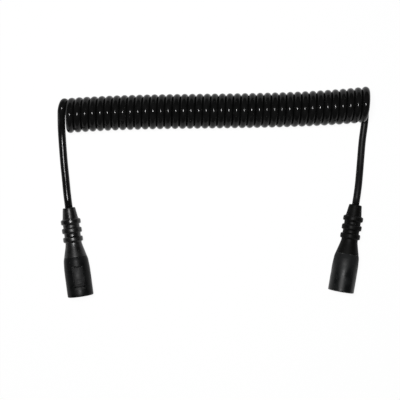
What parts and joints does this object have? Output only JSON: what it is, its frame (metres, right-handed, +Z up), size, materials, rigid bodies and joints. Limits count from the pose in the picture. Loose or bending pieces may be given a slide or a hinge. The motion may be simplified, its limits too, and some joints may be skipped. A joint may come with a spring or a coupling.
{
  "type": "xlr cable coil",
  "caption": "Coiled black microphone lead with a latching XLR socket on one straight tail and an XLR plug on the other, both with ribbed boots.",
  "frame": {"origin": "on the table under the middle of the two connectors", "axes": "+X along the coil, from the socket's side to the plug's side; +Y from the connectors to the coil; +Z up"},
  "size_m": [0.2371, 0.159, 0.0263],
  "materials": {
    "black_barrel": "satin black",
    "black_jacket": "glossy extruded",
    "black_insert": "moulded",
    "gilt_contact": "gilt",
    "latch_black": "satin black",
    "spring_steel": "bright",
    "boot_black": "semi-gloss moulded",
    "collet_grey": "moulded",
    "core_red": "extruded",
    "core_white": "extruded",
    "drain_copper": "bare stranded",
    "tinned_tag": "tinned"
  },
  "bodies": {
    "socket_end": {"socket_shell": "black_barrel", "socket_insert": "black_insert", "latch_pin": "spring_steel", "latch_spring": "spring_steel", "socket_contact_1": "gilt_contact", "socket_contact_2": "gilt_contact", "socket_contact_3": "gilt_contact", "socket_boot": "boot_black", "socket_collet": "collet_grey", "socket_cable_end": "black_jacket", "socket_core_1": "drain_copper", "socket_core_2": "core_red", "socket_core_3": "core_white", "socket_earth_tag": "tinned_tag", "coil": "black_jacket", "left_tail": "black_jacket"},
    "latch": {"latch_lever": "latch_black"},
    "plug_end": {"plug_shell": "black_barrel", "plug_insert": "black_insert", "plug_pin_1": "gilt_contact", "plug_pin_2": "gilt_contact", "plug_pin_3": "gilt_contact", "plug_boot": "boot_black", "plug_collet": "collet_grey", "plug_cable_end": "black_jacket", "plug_core_1": "drain_copper", "plug_core_2": "core_red", "plug_core_3": "core_white", "plug_earth_tag": "tinned_tag", "right_tail": "black_jacket"}
  },
  "joints": [
    {"name": "latch_press", "type": "hinge", "parent": "socket_end", "child": "latch", "pos_m": [-0.10112, -0.01457, 0.01591], "axis": [0.9759, 0.132, -0.1736], "range_deg": [0, 5], "stiffness_Nm_per_rad": 0.05, "springref_deg": -2.86, "deforming": ["latch_spring"]},
    {"name": "coil_stretch", "type": "slide", "parent": "socket_end", "child": "plug_end", "axis": [1, 0, 0], "range_m": [0, 0.8], "stiffness_N_per_m": 10, "deforming": ["coil"]}
  ]
}
